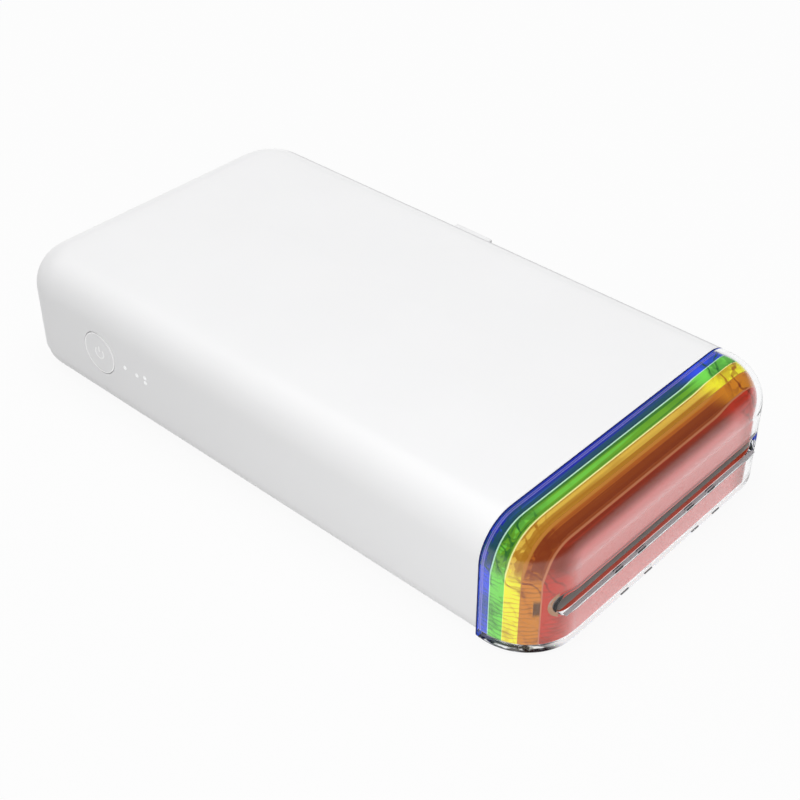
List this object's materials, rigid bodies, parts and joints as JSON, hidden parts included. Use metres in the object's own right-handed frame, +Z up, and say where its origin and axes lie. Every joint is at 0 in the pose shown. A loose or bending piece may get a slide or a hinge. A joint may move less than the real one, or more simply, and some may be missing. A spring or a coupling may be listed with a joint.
{
  "type": "pocket photo printer",
  "caption": "Slim pocket photo printer: white rolled-edge body, clear front cap over stacked coloured plates with a paper slot, side cartridge door, and a geared dye-transfer mechanism.",
  "frame": {"origin": "on the table, under the middle of the body", "axes": "+X along the printer to the paper slot, -Y to the power button side, +Z up"},
  "size_m": [0.15, 0.082, 0.027],
  "materials": {
    "white_shell": "fine satin moulded",
    "clear_cap": "polished clear acrylic",
    "blue_acrylic": "polished tinted acrylic",
    "green_acrylic": "polished tinted acrylic",
    "yellow_acrylic": "polished tinted acrylic",
    "orange_acrylic": "polished tinted acrylic",
    "red_acrylic": "polished tinted acrylic",
    "dark_plastic": "satin moulded",
    "grey_plastic": "satin moulded",
    "gear_plastic": "natural acetal",
    "steel": "ground",
    "aluminium": "extruded",
    "brass": "turned",
    "roller_rubber": "ground",
    "foot_rubber": "matte",
    "board": "solder resist",
    "battery_foil": "laminate pouch",
    "ribbon": "dyed film",
    "paper": "coated photo paper",
    "ceramic": "glazed",
    "light_pipe": "frosted"
  },
  "bodies": {
    "housing": {"bottom_case": "white_shell", "upper_shell": "white_shell", "front_cap": "clear_cap", "blue_plate": "blue_acrylic", "green_plate": "green_acrylic", "yellow_plate": "yellow_acrylic", "orange_plate": "orange_acrylic", "red_plate": "red_acrylic", "slot_liner": "dark_plastic", "exit_guide": "dark_plastic", "door_hinge_pins": "steel", "status_lights": "light_pipe", "button_board": "board", "chassis_frame": "grey_plastic", "gear_axles": "steel", "drive_motor": "steel", "roller_bushes": "brass", "ribbon_film": "ribbon", "cartridge_shell": "dark_plastic", "paper_stack": "paper", "paper_lift_plate": "steel", "head_pivot_shaft": "steel", "battery_pack": "battery_foil", "main_board": "board", "charge_board": "board", "usb_socket": "steel", "rubber_feet": "foot_rubber", "case_screws": "steel"},
    "door": {"cartridge_door": "white_shell"},
    "button": {"power_button": "white_shell"},
    "platen": {"platen_shaft": "steel", "platen_sleeve": "roller_rubber", "platen_gear": "gear_plastic"},
    "grip": {"grip_shaft": "steel", "grip_sleeve": "roller_rubber", "grip_gear": "gear_plastic"},
    "pinch": {"pinch_roller": "steel"},
    "pickup": {"pickup_shaft": "steel", "pickup_roller": "roller_rubber", "pickup_gear": "gear_plastic"},
    "motor_shaft": {"motor_pinion": "brass"},
    "reduction": {"reduction_gear": "gear_plastic"},
    "idler_one": {"first_idler": "gear_plastic"},
    "idler_two": {"second_idler": "gear_plastic"},
    "ribbon_drive": {"ribbon_idler": "gear_plastic"},
    "take_up": {"take_up_spindle": "gear_plastic", "take_up_spool": "ribbon"},
    "supply": {"supply_spool": "ribbon"},
    "print_head": {"head_bracket": "steel", "head_heat_sink": "aluminium", "thermal_head": "ceramic"}
  },
  "joints": [
    {"name": "door_hinge", "type": "hinge", "parent": "housing", "child": "door", "pos_m": [0, 0.0388, 0.00565], "axis": [-1, 0, 0], "range_deg": [0, 90]},
    {"name": "button_press", "type": "slide", "parent": "housing", "child": "button", "axis": [0, 1, 0], "range_m": [0, 0.0004], "stiffness_N_per_m": 600, "springref_m": -0.0005},
    {"name": "platen_spin", "type": "hinge", "parent": "housing", "child": "platen", "pos_m": [0.0305, 0, 0.0074], "axis": [0, 1, 0], "continuous": true},
    {"name": "grip_spin", "type": "hinge", "parent": "housing", "child": "grip", "pos_m": [0.04964, 0, 0.008], "axis": [0, 1, 0], "continuous": true},
    {"name": "pinch_spin", "type": "hinge", "parent": "housing", "child": "pinch", "pos_m": [0.04964, 0, 0.01365], "axis": [0, 1, 0], "continuous": true},
    {"name": "pickup_spin", "type": "hinge", "parent": "housing", "child": "pickup", "pos_m": [0, 0, 0.016], "axis": [0, 1, 0], "continuous": true},
    {"name": "motor_spin", "type": "hinge", "parent": "housing", "child": "motor_shaft", "pos_m": [-0.01977, 0, 0.018], "axis": [0, 1, 0], "continuous": true},
    {"name": "reduction_spin", "type": "hinge", "parent": "housing", "child": "reduction", "pos_m": [-0.00865, 0, 0.0135], "axis": [0, 1, 0], "continuous": true},
    {"name": "first_idler_spin", "type": "hinge", "parent": "housing", "child": "idler_one", "pos_m": [0.01147, 0, 0.0152], "axis": [0, 1, 0], "continuous": true},
    {"name": "second_idler_spin", "type": "hinge", "parent": "housing", "child": "idler_two", "pos_m": [0.02065, 0, 0.00914], "axis": [0, 1, 0], "continuous": true},
    {"name": "ribbon_idler_spin", "type": "hinge", "parent": "housing", "child": "ribbon_drive", "pos_m": [0.04041, 0, 0.00871], "axis": [0, 1, 0], "continuous": true},
    {"name": "take_up_spin", "type": "hinge", "parent": "housing", "child": "take_up", "pos_m": [0.04041, 0, 0.01621], "axis": [0, 1, 0], "continuous": true},
    {"name": "supply_spin", "type": "hinge", "parent": "housing", "child": "supply", "pos_m": [0.0155, 0, 0.0163], "axis": [0, 1, 0], "continuous": true},
    {"name": "head_lift", "type": "hinge", "parent": "housing", "child": "print_head", "pos_m": [0.0239, 0, 0.0182], "axis": [0, -1, 0], "range_deg": [0, 5], "stiffness_Nm_per_rad": 0.15, "springref_deg": -5.73}
  ],
  "couplings": [
    {"joint": "grip_spin", "follows": "platen_spin", "ratio": 1.2},
    {"joint": "pinch_spin", "follows": "platen_spin", "ratio": -1.5},
    {"joint": "second_idler_spin", "follows": "platen_spin", "ratio": -0.81818},
    {"joint": "first_idler_spin", "follows": "platen_spin", "ratio": 0.81818},
    {"joint": "pickup_spin", "follows": "platen_spin", "ratio": -0.75},
    {"joint": "reduction_spin", "follows": "platen_spin", "ratio": 1.5},
    {"joint": "motor_spin", "follows": "platen_spin", "ratio": -4.5},
    {"joint": "ribbon_idler_spin", "follows": "platen_spin", "ratio": -0.81818},
    {"joint": "take_up_spin", "follows": "platen_spin", "ratio": 1.2273},
    {"joint": "supply_spin", "follows": "platen_spin", "ratio": 0.9}
  ]
}
